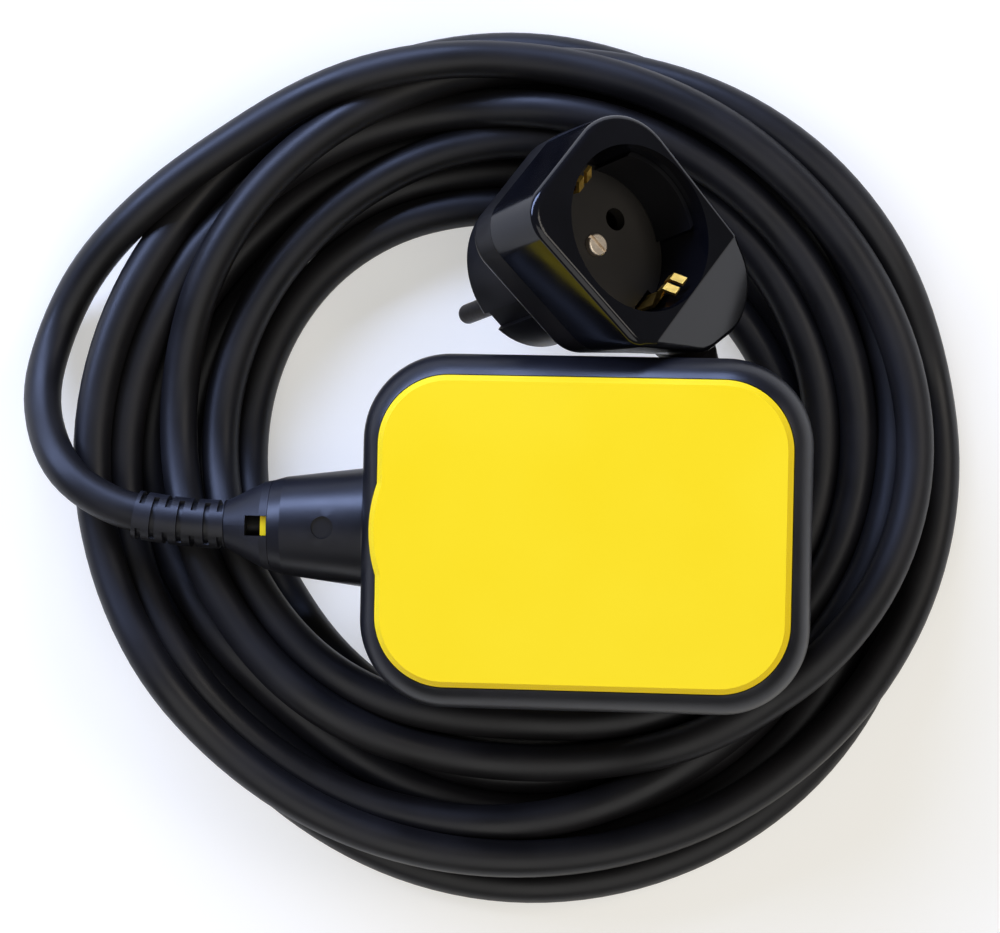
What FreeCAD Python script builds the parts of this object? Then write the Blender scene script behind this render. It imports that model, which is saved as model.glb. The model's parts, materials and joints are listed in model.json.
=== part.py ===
import FreeCAD, Part
import math
import os
import sys

import Sketcher
from FreeCAD import Placement, Rotation, Vector

# Cable float switch with its coiled cable and through-socket plug, in millimetres.
# Frame: +X along the float from its cable to its nose, +Z up, origin in the middle of the float.

doc = FreeCAD.newDocument("FloatSwitch")

# Driving sizes
SIZES = {
    # float casing
    "case_length": 102.8,
    "case_width": 81.0,
    "case_height": 40.7,
    "case_corner": 20.0,
    "case_edge": 9.0,
    "case_wall": 2.4,
    "case_centre": 26.9,
    "float_tilt": 5.6,
    "fit_gap": 0.2,
    # yellow panels
    "rim_length": 4.3,
    "rim_width": 5.1,
    "panel_corner": 16.0,
    "panel_proud": 0.4,
    "panel_bevel": 1.3,
    "panel_plate": 2.4,
    "panel_wall": 2.2,
    "flange_height": 2.0,
    "tongue_width": 21.0,
    "tongue_reach": 1.7,
    "seal_height": 1.2,
    # neck, latch and bend relief
    "neck_length": 22.4,
    "neck_root_radius": 14.0,
    "neck_tip_radius": 10.6,
    "neck_dimple_radius": 2.6,
    "neck_dimple_depth": 0.5,
    "neck_dimple_back": 9.2,
    "collar_radius": 6.4,
    "collar_wall": 1.2,
    "collar_reach": 2.2,
    "collar_flange": 2.0,
    "hook_width": 4.4,
    "hook_length": 1.6,
    "hook_height": 2.1,
    "window_length": 5.4,
    "cone_length": 11.2,
    "cone_shoulder": 2.0,
    "sleeve_radius": 5.7,
    "sleeve_length": 21.4,
    "sleeve_bend": 10.0,
    "slot_width": 1.3,
    "slot_depth": 1.0,
    "slot_pitch": 3.15,
    "slot_angle": 118.0,
    "grommet_length": 10.0,
    # cable
    "cable_diameter": 9.0,
    "floor_drop": 40.0,
    "coil_x": 12.0,
    "coil_y": 15.0,
    "coil_inner": 66.0,
    "coil_outer": 106.0,
    "coil_height": 22.0,
    "coil_round": 8.0,
    # switch inside the float
    "ball_diameter": 12.0,
    "ball_travel": 21.6,
    "ball_clearance": 0.3,
    "race_wall": 1.0,
    "race_slot": 8.0,
    "lever_width": 6.0,
    "lever_thickness": 1.0,
    "lever_length": 33.0,
    "lever_gap": 0.12,
    "hinge_reach": 9.7,
    "hinge_offset": 0.8,
    "pin_radius": 1.0,
    "pin_play": 0.08,
    "carrier_length": 66.0,
    "carrier_width": 34.0,
    "carrier_plate": 1.6,
    "carrier_inset": 2.3,
    "carrier_hole_back": 12.0,
    "carrier_hole_front": 6.0,
    "carrier_hole_side": 4.0,
    "trough_reach": 40.0,
    "switch_length": 28.0,
    "switch_width": 9.0,
    "switch_height": 14.0,
    "switch_lift": 0.8,
    "switch_cover": 1.2,
    "plunger_radius": 1.45,
    "plunger_arm": 14.0,
    "plunger_length": 7.0,
    "tab_length": 6.0,
    "tab_width": 4.8,
    "tab_thickness": 0.8,
    "core_diameter": 2.6,
    "clamp_length": 6.5,
    "clamp_width": 24.0,
    "clamp_height": 6.0,
    "clamp_hole_side": 3.2,
    "clamp_screw_length": 13.0,
    "small_screw": 1.5,
    "small_screw_head": 2.7,
    "pilot_depth": 1.7,
    # through-socket plug
    "plug_x": 36.75,
    "plug_y": 69.6,
    "plug_z": 17.0,
    "recess_radius": 19.5,
    "recess_depth": 17.5,
    "recess_wall": 1.2,
    "shell_depth": 16.0,
    "shell_wall": 2.2,
    "shell_edge": 1.6,
    "shell_back": 24.0,
    "slope_start": 19.6,
    "slope_angle": 23.0,
    "boss_radius": 18.4,
    "boss_reach": 43.5,
    "boss_wall": 2.4,
    "insert_thickness": 3.0,
    "plug_pin_radius": 2.4,
    "plug_pin_root": 3.0,
    "plug_pin_length": 19.0,
    "plug_pin_spacing": 19.0,
    "pin_hole_radius": 2.7,
    "contact_radius": 3.3,
    "centre_screw_head": 2.7,
    "centre_screw_shank": 1.5,
    "post_radius": 3.4,
    "strap_width": 5.6,
    "prong_gap": 1.3,
    "strap_thickness": 0.8,
    "boot_length": 22.0,
    "boot_root_radius": 6.6,
    "boot_tip_radius": 5.5,
}

sheet = doc.addObject("Spreadsheet::Sheet", "Sizes")
for row, (alias, number) in enumerate(SIZES.items(), 1):
    sheet.set(f"A{row}", alias)
    sheet.set(f"B{row}", str(number))
    sheet.setAlias(f"B{row}", alias)
doc.recompute()


class Size:
    """A value together with the expression that ties it to the sheet."""

    def __init__(self, value, text):
        self.value = float(value)
        self.text = text

    def __float__(self):
        return self.value

    def __add__(self, other):
        return Size(self.value + float(other), f"({self.text} + {words(other)})")

    def __radd__(self, other):
        return Size(float(other) + self.value, f"({words(other)} + {self.text})")

    def __sub__(self, other):
        return Size(self.value - float(other), f"({self.text} - {words(other)})")

    def __rsub__(self, other):
        return Size(float(other) - self.value, f"({words(other)} - {self.text})")

    def __mul__(self, other):
        return Size(self.value * float(other), f"({self.text} * {words(other)})")

    __rmul__ = __mul__

    def __truediv__(self, other):
        return Size(self.value / float(other), f"({self.text} / {words(other)})")

    def __neg__(self):
        return Size(-self.value, f"(-1 * {self.text})")


def words(value):
    return value.text if isinstance(value, Size) else repr(float(value))


class Named:
    """The sheet's sizes by name."""


of = Named()
for alias in SIZES:
    setattr(of, alias, Size(sheet.get(alias), f"Sizes.{alias}"))


def bind(thing, field, value):
    if isinstance(value, Size):
        thing.setExpression(field, value.text)
    else:
        setattr(thing, field, float(value))


# Bodies, sketches and features


def new_body(label):
    body = doc.addObject("PartDesign::Body", label)
    body.Label = label
    return body


def new_sketch(body, role, lift=None):
    sketch = body.newObject("Sketcher::SketchObject", "Sketch")
    plane = [item for item in body.Origin.OriginFeatures if item.Role == role][0]
    sketch.AttachmentSupport = [(plane, "")]
    sketch.MapMode = "FlatFace"
    if lift is not None:
        bind(sketch, "AttachmentOffset.Base.z", lift)
    return sketch


def fix(sketch, kind, geometry, point, value):
    """Fix one coordinate of a point, on the axis where it is zero."""
    if float(value) == 0.0:
        axis = -2 if kind == "DistanceX" else -1
        sketch.addConstraint(Sketcher.Constraint("PointOnObject", geometry, point, axis))
        return
    constraint = Sketcher.Constraint(kind, -1, 1, geometry, point, float(value))
    index = sketch.addConstraint(constraint)
    if isinstance(value, Size):
        sketch.setExpression(f"Constraints[{index}]", value.text)


def draw_polygon(sketch, corners):
    points = [Vector(float(x), float(y), 0) for x, y in corners]
    first = sketch.GeometryCount
    count = len(points)
    for number in range(count):
        sketch.addGeometry(Part.LineSegment(points[number], points[(number + 1) % count]))
    for number in range(count):
        after = first + (number + 1) % count
        sketch.addConstraint(Sketcher.Constraint("Coincident", first + number, 2, after, 1))
    for number, (x, y) in enumerate(corners):
        fix(sketch, "DistanceX", first + number, 1, x)
        fix(sketch, "DistanceY", first + number, 1, y)


def draw_rectangle(sketch, x_low, x_high, y_low, y_high):
    draw_polygon(sketch, [(x_low, y_low), (x_high, y_low), (x_high, y_high), (x_low, y_high)])


def draw_rounded(sketch, x_half, y_half, radius):
    """A centred rectangle with tangent corner arcs."""
    x, y, r = float(x_half), float(y_half), float(radius)
    spots = [
        (Vector(r - x, -y, 0), Vector(x - r, -y, 0), Vector(x - r, r - y, 0), -90),
        (Vector(x, r - y, 0), Vector(x, y - r, 0), Vector(x - r, y - r, 0), 0),
        (Vector(x - r, y, 0), Vector(r - x, y, 0), Vector(r - x, y - r, 0), 90),
        (Vector(-x, y - r, 0), Vector(-x, r - y, 0), Vector(r - x, r - y, 0), 180),
    ]
    for start, end, centre, angle in spots:
        sketch.addGeometry(Part.LineSegment(start, end))
        circle = Part.Circle(centre, Vector(0, 0, 1), r)
        sketch.addGeometry(Part.ArcOfCircle(circle, math.radians(angle), math.radians(angle + 90)))
    for number in range(4):
        line, arc, following = 2 * number, 2 * number + 1, (2 * number + 2) % 8
        sketch.addConstraint(Sketcher.Constraint("Tangent", line, 2, arc, 1))
        sketch.addConstraint(Sketcher.Constraint("Tangent", arc, 2, following, 1))
        kind = "Vertical" if number % 2 else "Horizontal"
        sketch.addConstraint(Sketcher.Constraint(kind, line))
        if number:
            sketch.addConstraint(Sketcher.Constraint("Equal", 1, arc))
    index = sketch.addConstraint(Sketcher.Constraint("Radius", 1, r))
    if isinstance(radius, Size):
        sketch.setExpression(f"Constraints[{index}]", radius.text)
    fix(sketch, "DistanceY", 0, 1, -y_half)
    fix(sketch, "DistanceX", 2, 1, x_half)
    fix(sketch, "DistanceY", 4, 1, y_half)
    fix(sketch, "DistanceX", 6, 1, -x_half)


def draw_circle(sketch, x, y, radius):
    centre = Vector(float(x), float(y), 0)
    number = sketch.addGeometry(Part.Circle(centre, Vector(0, 0, 1), float(radius)))
    fix(sketch, "DistanceX", number, 3, x)
    fix(sketch, "DistanceY", number, 3, y)
    index = sketch.addConstraint(Sketcher.Constraint("Radius", number, float(radius)))
    if isinstance(radius, Size):
        sketch.setExpression(f"Constraints[{index}]", radius.text)


def add_feature(body, kind, sketch, amount, field="Length", reverse=False, middle=False):
    feature = body.newObject(f"PartDesign::{kind}", kind)
    feature.Profile = sketch
    bind(feature, field, amount)
    feature.Reversed = reverse
    feature.Midplane = middle
    return feature


def pad(body, sketch, length, reverse=False, middle=False):
    return add_feature(body, "Pad", sketch, length, "Length", reverse, middle)


def pocket(body, sketch, length, reverse=False, middle=False):
    return add_feature(body, "Pocket", sketch, length, "Length", reverse, middle)


def turn(body, kind, sketch, axis, angle=360, middle=False):
    feature = body.newObject(f"PartDesign::{kind}", kind)
    feature.Profile = sketch
    feature.ReferenceAxis = (sketch, [axis])
    bind(feature, "Angle", angle)
    feature.Midplane = middle
    return feature


def dress(body, kind, amount, chosen, field=None):
    """Fillet or chamfer the edges of the tip that the chosen test picks."""
    doc.recompute()
    base = body.Tip
    names = [f"Edge{n}" for n, edge in enumerate(base.Shape.Edges, 1) if chosen(edge)]
    feature = body.newObject(f"PartDesign::{kind}", kind)
    feature.Base = (base, names)
    bind(feature, field or ("Radius" if kind == "Fillet" else "Size"), amount)
    return feature


def upright_at(x, y, near=0.6):
    """Edges parallel to Z at plus or minus x and y."""

    def chosen(edge):
        low, high = edge.Vertexes[0].Point, edge.Vertexes[-1].Point
        upright = abs(low.x - high.x) < 0.01 and abs(low.y - high.y) < 0.01 and abs(low.z - high.z) > 0.01
        return upright and abs(abs(low.x) - float(x)) < near and abs(abs(low.y) - float(y)) < near

    return chosen


def level_at(z, x_least=None, near=0.01):
    """Edges that lie wholly at height z, outside x_least from the middle where it is given."""

    def chosen(edge):
        box = edge.BoundBox
        flat = abs(box.ZMin - float(z)) < near and abs(box.ZMax - float(z)) < near
        return flat and (x_least is None or box.XMin > -float(x_least))

    return chosen


def feature_of(label, shape):
    """A piece whose shape is made with Part's own functions."""
    thing = doc.addObject("Part::Feature", label)
    thing.Label = label
    thing.Shape = shape
    return thing


# Shapes made with Part's functions


def cylinder(radius, length, base=Vector(0, 0, 0), axis=Vector(0, 0, 1), angle=360):
    return Part.makeCylinder(float(radius), float(length), base, axis, angle)


def block(x_low, x_high, y_low, y_high, z_low, z_high):
    low = [float(v) for v in (x_low, y_low, z_low)]
    high = [float(v) for v in (x_high, y_high, z_high)]
    return Part.makeBox(*[b - a for a, b in zip(low, high)], Vector(*low))


def lathe(profile, axis="X"):
    """Turn a closed outline of (along, radius) points round an axis."""
    points = [Vector(float(a), 0, float(r)) for a, r in profile]
    face = Part.Face(Part.makePolygon(points + points[:1]))
    solid = face.revolve(Vector(0, 0, 0), Vector(1, 0, 0), 360)
    if axis == "Z":
        solid = solid.rotated(Vector(0, 0, 0), Vector(0, 1, 0), -90)
    return Part.makeSolid(solid.Shells[0]) if solid.ShapeType != "Solid" else solid


def strip(points, thickness, width):
    """A bent strip of sheet metal: its centre line in XZ, its width along Y."""
    half = float(thickness) / 2
    spots = [Vector(float(x), 0, float(z)) for x, z in points]
    left, right = [], []
    for number, spot in enumerate(spots):
        before = spots[max(number - 1, 0)]
        after = spots[min(number + 1, len(spots) - 1)]
        into = (spot - before).normalize() if number else (after - spot).normalize()
        out = (after - spot).normalize() if number < len(spots) - 1 else into
        across = Vector(-(into.z + out.z), 0, into.x + out.x).normalize()
        reach = half / max(across.dot(Vector(-into.z, 0, into.x)), 0.3)
        left.append(spot + across * reach)
        right.append(spot - across * reach)
    loop = left + right[::-1]
    face = Part.Face(Part.makePolygon(loop + loop[:1]))
    solid = face.extrude(Vector(0, float(width), 0))
    solid.translate(Vector(0, -float(width) / 2, 0))
    return solid


def hull_wire(circles, z):
    """The tight outline round circles given anticlockwise as (x, y, radius)."""
    rings = [(Vector(float(x), float(y), float(z)), float(r)) for x, y, r in circles]
    count = len(rings)
    tangents = []
    for number in range(count):
        (here, r_here), (there, r_there) = rings[number], rings[(number + 1) % count]
        along = there - here
        lean = math.asin((r_here - r_there) / along.Length)
        heading = math.atan2(along.y, along.x) - math.pi / 2 + lean
        normal = Vector(math.cos(heading), math.sin(heading), 0)
        tangents.append((here + normal * r_here, there + normal * r_there, heading))
    edges = []
    for number in range(count):
        start, end, heading = tangents[number]
        edges.append(Part.LineSegment(start, end).toShape())
        following = tangents[(number + 1) % count]
        centre, radius = rings[(number + 1) % count]
        turned = (following[2] - heading) % (2 * math.pi)
        middle = heading + turned / 2
        middle_point = centre + Vector(math.cos(middle), math.sin(middle), 0) * radius
        edges.append(Part.Arc(end, middle_point, following[0]).toShape())
    return Part.Wire(edges)


def hull_block(circles, z_low, z_high):
    face = Part.Face(hull_wire(circles, z_low))
    return face.extrude(Vector(0, 0, float(z_high) - float(z_low)))


def grown(circles, by):
    return [(x, y, r + by) for x, y, r in circles]


def route_wire(points, name):
    """Straight runs joined by tangent arcs; prints the least radius and the length."""
    spots = [Vector(*point) for point in points]
    start = spots[0]
    edges = []
    radii = []
    for before, corner, after in zip(spots, spots[1:], spots[2:]):
        into = (corner - before).normalize()
        out = (after - corner).normalize()
        bend = into.getAngle(out)
        cut = 0.45 * min((corner - before).Length, (after - corner).Length)
        radius = cut / math.tan(bend / 2)
        radii.append(radius)
        first = corner - into * cut
        last = corner + out * cut
        centre = corner + (out - into).normalize() * (radius / math.cos(bend / 2))
        middle = centre + (corner - centre).normalize() * radius
        edges.append(Part.LineSegment(start, first).toShape())
        edges.append(Part.Arc(first, middle, last).toShape())
        start = last
    edges.append(Part.LineSegment(start, spots[-1]).toShape())
    wire = Part.Wire(edges)
    print(name, "least radius", round(min(radii), 1) if radii else "none", "length", round(wire.Length, 1))
    return wire


def tube(points, diameter, name):
    wire = route_wire(points, name)
    radius = float(diameter) / 2
    heading = Vector(*points[1]) - Vector(*points[0])
    ring = Part.Wire(Part.makeCircle(radius, Vector(*points[0]), heading))
    solid = wire.makePipeShell([ring], True, False)
    expected = math.pi * radius * radius * wire.Length
    print(name, "volume against section times length", round(solid.Volume / expected, 4))
    return solid


# Places that more than one piece uses

half_length = of.case_length / 2
half_height = of.case_height / 2
neck_end = -(half_length + of.neck_length)
panel_top = half_height + of.panel_proud
panel_floor = panel_top - of.panel_plate
flange_low = of.seal_height / 2
flange_high = flange_low + of.flange_height
inner_length = of.case_length - 2 * of.case_wall
inner_width = of.case_width - 2 * of.case_wall
inner_corner = of.case_corner - of.case_wall
port_radius = of.collar_radius + of.fit_gap
cable_radius = of.cable_diameter / 2
panel_length = of.case_length - 2 * of.rim_length
panel_width = of.case_width - 2 * of.rim_width
box_start = -(panel_length / 2 - of.panel_wall)
carrier_start = -(box_start + of.carrier_inset)
tongue_radius = (of.tongue_width / 2 * (of.tongue_width / 2) + of.tongue_reach * of.tongue_reach) / (
    2 * of.tongue_reach
)
tongue_x = tongue_radius - panel_length / 2 - of.tongue_reach

tilt = Rotation(Vector(0, 1, 0), -float(of.float_tilt))
float_place = Placement(Vector(float(of.case_centre), 0, 0), tilt)


def in_float(x, y, z):
    """A point of the float's own frame in the frame of the whole part."""
    return float_place.multVec(Vector(float(x), float(y), float(z)))


# Float casing


def make_casing(label, side):
    """Half frame of the casing with half of the neck; side is 1 above and -1 below."""
    body = new_body(label)
    down = side < 0
    half_width = of.case_width / 2
    sketch = new_sketch(body, "XY_Plane")
    draw_rounded(sketch, half_length, half_width, of.case_corner)
    pad(body, sketch, half_height, down)
    dress(body, "Fillet", of.case_edge, level_at(side * float(half_height)))
    sketch = new_sketch(body, "XZ_Plane")
    draw_polygon(
        sketch,
        [
            (-(half_length - of.case_edge), 0),
            (-(half_length - of.case_edge), side * of.neck_root_radius),
            (-half_length, side * of.neck_root_radius),
            (neck_end + 3, side * (of.neck_tip_radius + 0.9)),
            (neck_end, side * of.neck_tip_radius),
            (neck_end, 0),
        ],
    )
    turn(body, "Revolution", sketch, "H_Axis", 180, True)
    cut_window(body, down)
    sketch = new_sketch(body, "XY_Plane")
    draw_rounded(sketch, inner_length / 2, inner_width / 2, inner_corner)
    pocket(body, sketch, flange_high + of.fit_gap, not down)
    cut_port(body)
    sketch = new_sketch(body, "XY_Plane", side * (of.neck_root_radius + 5))
    dimple_x = -(half_length + of.neck_dimple_back)
    draw_circle(sketch, dimple_x, 0, of.neck_dimple_radius)
    if side > 0:
        pocket(body, sketch, 5 + 1.55 + of.neck_dimple_depth)
    else:
        pocket(body, sketch, 5 + 1.55 + of.neck_dimple_depth, True)
    body.Placement = float_place
    return body


def cut_window(body, down):
    """The opening for the yellow panel, with the bulge for its tongue."""
    sketch = new_sketch(body, "XY_Plane")
    long_half = panel_length / 2 + of.fit_gap
    wide_half = panel_width / 2 + of.fit_gap
    draw_rounded(sketch, long_half, wide_half, of.panel_corner + of.fit_gap)
    pocket(body, sketch, half_height + 1, not down)
    depth = of.panel_plate + of.fit_gap
    lift = half_height + 1
    sketch = new_sketch(body, "XY_Plane", -lift if down else lift)
    draw_circle(sketch, tongue_x, 0, tongue_radius + of.fit_gap)
    pocket(body, sketch, depth + 1, down)


def cut_port(body):
    """The bore along the neck for the latch collar."""
    sketch = new_sketch(body, "YZ_Plane", neck_end - 1)
    draw_circle(sketch, 0, 0, port_radius)
    pocket(body, sketch, of.neck_length + of.case_edge + of.panel_wall + 1, True)


def make_panel(label, side):
    """Yellow tray: plate with a bevelled rim and a tongue, skirt and trapped flange."""
    body = new_body(label)
    down = side < 0
    lift = side * flange_low
    sketch = new_sketch(body, "XY_Plane", lift)
    long_half = inner_length / 2 - of.fit_gap
    wide_half = inner_width / 2 - of.fit_gap
    draw_rounded(sketch, long_half, wide_half, inner_corner - of.fit_gap)
    pad(body, sketch, of.flange_height, down)
    sketch = new_sketch(body, "XY_Plane", lift)
    draw_rounded(sketch, panel_length / 2, panel_width / 2, of.panel_corner)
    pad(body, sketch, panel_top - flange_low, down)
    sketch = new_sketch(body, "XY_Plane", side * panel_floor)
    draw_circle(sketch, tongue_x, 0, tongue_radius)
    pad(body, sketch, of.panel_plate, down)
    dress(body, "Chamfer", of.panel_bevel, level_at(side * float(panel_top)))
    sketch = new_sketch(body, "XY_Plane")
    long_half = panel_length / 2 - of.panel_wall
    wide_half = panel_width / 2 - of.panel_wall
    draw_rounded(sketch, long_half, wide_half, of.panel_corner - of.panel_wall)
    pocket(body, sketch, panel_floor, not down)
    cut_port(body)
    if down:
        sketch = new_sketch(body, "XY_Plane", -panel_floor)
        for x, y in carrier_spots():
            draw_circle(sketch, x, y, of.small_screw + 0.02)
        pocket(body, sketch, of.pilot_depth)
    body.Placement = float_place
    return body


def make_seal():
    body = new_body("casing_seal")
    sketch = new_sketch(body, "XY_Plane")
    long_half = inner_length / 2 - of.fit_gap
    wide_half = inner_width / 2 - of.fit_gap
    draw_rounded(sketch, long_half, wide_half, inner_corner - of.fit_gap)
    pad(body, sketch, of.seal_height, False, True)
    sketch = new_sketch(body, "XY_Plane")
    long_half = panel_length / 2 - of.panel_wall
    wide_half = panel_width / 2 - of.panel_wall
    draw_rounded(sketch, long_half, wide_half, of.panel_corner - of.panel_wall)
    pocket(body, sketch, of.seal_height + 1, False, True)
    cut_port(body)
    body.Placement = float_place


# Neck: latch collar, grommet and bend relief

collar_end = neck_end - of.collar_reach
hook_near = neck_end - 0.25


def make_collar():
    """Yellow tube through the neck, with a flange inside the box and two latch hooks."""
    bore = cable_radius + 0.25
    seat = of.collar_radius - 0.85
    outline = [
        (box_start + of.collar_flange + 0.1, bore),
        (box_start + of.collar_flange + 0.1, of.collar_radius + 2),
        (box_start + 0.1, of.collar_radius + 2),
        (box_start + 0.1, of.collar_radius),
        (collar_end, of.collar_radius),
        (collar_end, bore),
    ]
    shape = lathe(outline)
    reach = of.collar_radius + of.hook_height
    bar = block(
        hook_near - of.hook_length, hook_near, -of.hook_width / 2, of.hook_width / 2, -reach, reach
    )
    shape = shape.fuse(bar)
    shape = shape.cut(cylinder(bore, 60, Vector(float(collar_end) - 1, 0, 0), Vector(1, 0, 0)))
    seat_start = float(box_start) - 4 - float(of.grommet_length)
    shape = shape.cut(cylinder(seat, of.grommet_length, Vector(seat_start, 0, 0), Vector(1, 0, 0)))
    piece = feature_of("latch_collar", shape.removeSplitter())
    piece.Placement = float_place
    grommet = cylinder(seat - 0.05, of.grommet_length - 0.1, Vector(seat_start + 0.05, 0, 0), Vector(1, 0, 0))
    grommet = grommet.cut(cylinder(cable_radius + 0.02, 40, Vector(seat_start - 5, 0, 0), Vector(1, 0, 0)))
    piece = feature_of("cable_grommet", grommet)
    piece.Placement = float_place


cone_end = neck_end - of.cone_length
bend_radius = of.sleeve_length / math.radians(float(of.sleeve_bend))


def sleeve_frame(along):
    """Where the bent sleeve's axis is after a length, as a placement whose -X runs along it."""
    angle = along / float(bend_radius)
    x = float(cone_end) - float(bend_radius) * math.sin(angle)
    y = float(bend_radius) * (1 - math.cos(angle))
    return Placement(Vector(x, y, 0), Rotation(Vector(0, 0, 1), -math.degrees(angle)))


def make_relief():
    """Cone that snaps over the collar, and a slotted sleeve that bends with the cable."""
    shoulder = neck_end - of.cone_shoulder
    cone = lathe(
        [
            (neck_end - 0.1, 0),
            (neck_end - 0.1, of.neck_tip_radius),
            (shoulder, of.neck_tip_radius - 0.4),
            (cone_end, of.sleeve_radius - 0.2),
            (cone_end, 0),
        ]
    )
    pivot = Vector(float(cone_end), float(bend_radius), 0)
    disc = Part.Face(Part.Wire(Part.makeCircle(float(of.sleeve_radius), Vector(float(cone_end), 0, 0), Vector(1, 0, 0))))
    sleeve = disc.revolve(pivot, Vector(0, 0, 1), -float(of.sleeve_bend))
    shape = cone.fuse(sleeve)
    hole = Part.Face(Part.Wire(Part.makeCircle(float(cable_radius) + 0.02, Vector(float(cone_end), 0, 0), Vector(1, 0, 0))))
    shape = shape.cut(hole.revolve(pivot, Vector(0, 0, 1), -float(of.sleeve_bend) * 1.02))
    shape = shape.cut(cylinder(cable_radius + 0.02, of.cone_length + 1, Vector(float(cone_end), 0, 0), Vector(1, 0, 0)))
    shape = shape.cut(cylinder(port_radius, of.collar_reach + 0.4, Vector(float(collar_end) - 0.3, 0, 0), Vector(1, 0, 0)))
    window = block(
        neck_end - 0.15 - of.window_length,
        neck_end - 0.15,
        -of.hook_width / 2 - 0.15,
        of.hook_width / 2 + 0.15,
        -of.neck_tip_radius - 1,
        of.neck_tip_radius + 1,
    )
    shape = shape.cut(window)
    rings = 7
    for ring in range(rings):
        along = 0.9 + ring * float(of.slot_pitch)
        turned = 0 if ring % 2 else 90
        for facing in (0, 180):
            groove = slot_sector(facing + turned)
            groove.Placement = sleeve_frame(along).multiply(groove.Placement)
            shape = shape.cut(groove)
    piece = feature_of("bend_relief", shape.removeSplitter())
    piece.Placement = float_place


def slot_sector(facing):
    """Part of a ring round the X axis, as wide as one slot and centred on an angle from Z."""
    outer = float(of.sleeve_radius) + 1
    inner = float(of.sleeve_radius) - float(of.slot_depth)
    half = float(of.slot_angle) / 2
    wide = float(of.slot_width)
    wedge = Part.makeCylinder(outer, wide, Vector(-wide / 2, 0, 0), Vector(1, 0, 0), 2 * half)
    middle = wedge.CenterOfMass
    at = math.degrees(math.atan2(middle.y, middle.z))
    ring = wedge.cut(cylinder(inner, 3 * wide, Vector(-1.5 * wide, 0, 0), Vector(1, 0, 0)))
    ring.rotate(Vector(0, 0, 0), Vector(1, 0, 0), at - facing)
    return ring


# Switch works inside the float

ball_radius = of.ball_diameter / 2
race_inner = ball_radius + of.ball_clearance
race_outer = race_inner + of.race_wall
race_half = (of.ball_travel / 2) + race_inner + of.race_wall
race_drop = panel_floor - of.carrier_plate - race_outer
ball_rest = -(of.ball_travel / 2)
hinge_x = ball_rest - of.hinge_reach
hinge_z = -race_drop + ball_radius + of.lever_gap - of.hinge_offset
carrier_top = -race_drop - race_outer
carrier_low = carrier_top - of.carrier_plate


def lever_angle(reach):
    """Slope at which the lever clears the ball by its gap, with the ball at this reach."""
    clear = float(ball_radius) + float(of.lever_gap)
    drop = clear - float(of.hinge_offset)
    return math.asin(clear / math.hypot(reach, drop)) - math.atan2(drop, reach)


rest_slope = lever_angle(float(of.hinge_reach))
far_slope = lever_angle(float(of.hinge_reach) + float(of.ball_travel))
lever_ratio = (rest_slope - far_slope) / (float(of.ball_travel) / 1000)
plunger_drop = float(of.plunger_arm) * (math.sin(rest_slope) - math.sin(far_slope))
print("lever ratio, radians for each metre", round(lever_ratio, 4))
print("plunger ratio", round(-plunger_drop / float(of.ball_travel), 5))


def make_race():
    body = new_body("ball_race")
    sketch = new_sketch(body, "YZ_Plane", -race_half)
    draw_circle(sketch, 0, -race_drop, race_outer)
    pad(body, sketch, race_half * 2)
    sketch = new_sketch(body, "YZ_Plane", of.race_wall - race_half)
    draw_circle(sketch, 0, -race_drop, race_inner)
    pocket(body, sketch, (race_half - of.race_wall) * 2, True)
    sketch = new_sketch(body, "XZ_Plane")
    slot_floor = hinge_z - 0.6
    draw_rectangle(sketch, -race_half - 1, race_half + 1, slot_floor, 3)
    pocket(body, sketch, of.race_slot, False, True)
    body.Placement = float_place


def make_ball():
    ball = doc.addObject("Part::Sphere", "steel_ball")
    ball.Label = "steel_ball"
    bind(ball, "Radius", ball_radius)
    ball.Placement = Placement(in_float(ball_rest, 0, -race_drop), tilt)


def make_lever():
    """Flat lever with a knuckle, turned about its pin to rest on the ball."""
    body = new_body("switch_lever")
    sketch = new_sketch(body, "XZ_Plane")
    draw_rectangle(sketch, 0, of.lever_length, 0, of.lever_thickness)
    pad(body, sketch, of.lever_width, False, True)
    sketch = new_sketch(body, "XZ_Plane")
    draw_circle(sketch, 0, of.lever_thickness / 2, of.pin_radius + 1.1)
    pad(body, sketch, of.lever_width, False, True)
    sketch = new_sketch(body, "XZ_Plane")
    draw_circle(sketch, 0, of.lever_thickness / 2, of.pin_radius + of.pin_play)
    pocket(body, sketch, of.lever_width + 2, False, True)
    slope = Rotation(Vector(0, 1, 0), -math.degrees(rest_slope))
    pin_axis = Vector(0, 0, float(of.lever_thickness) / 2)
    hinge = Vector(float(hinge_x), 0, float(hinge_z))
    own = Placement(hinge, slope)
    body.Placement = float_place.multiply(own)
    return own.multVec(pin_axis)


def make_lever_pin(axis_point):
    pin = doc.addObject("Part::Cylinder", "lever_pin")
    pin.Label = "lever_pin"
    bind(pin, "Radius", of.pin_radius)
    bind(pin, "Height", of.lever_width + 5)
    start = axis_point - Vector(0, float(of.lever_width + 5) / 2, 0)
    own = Placement(start, Rotation(Vector(1, 0, 0), -90))
    pin.Placement = float_place.multiply(own)


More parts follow.
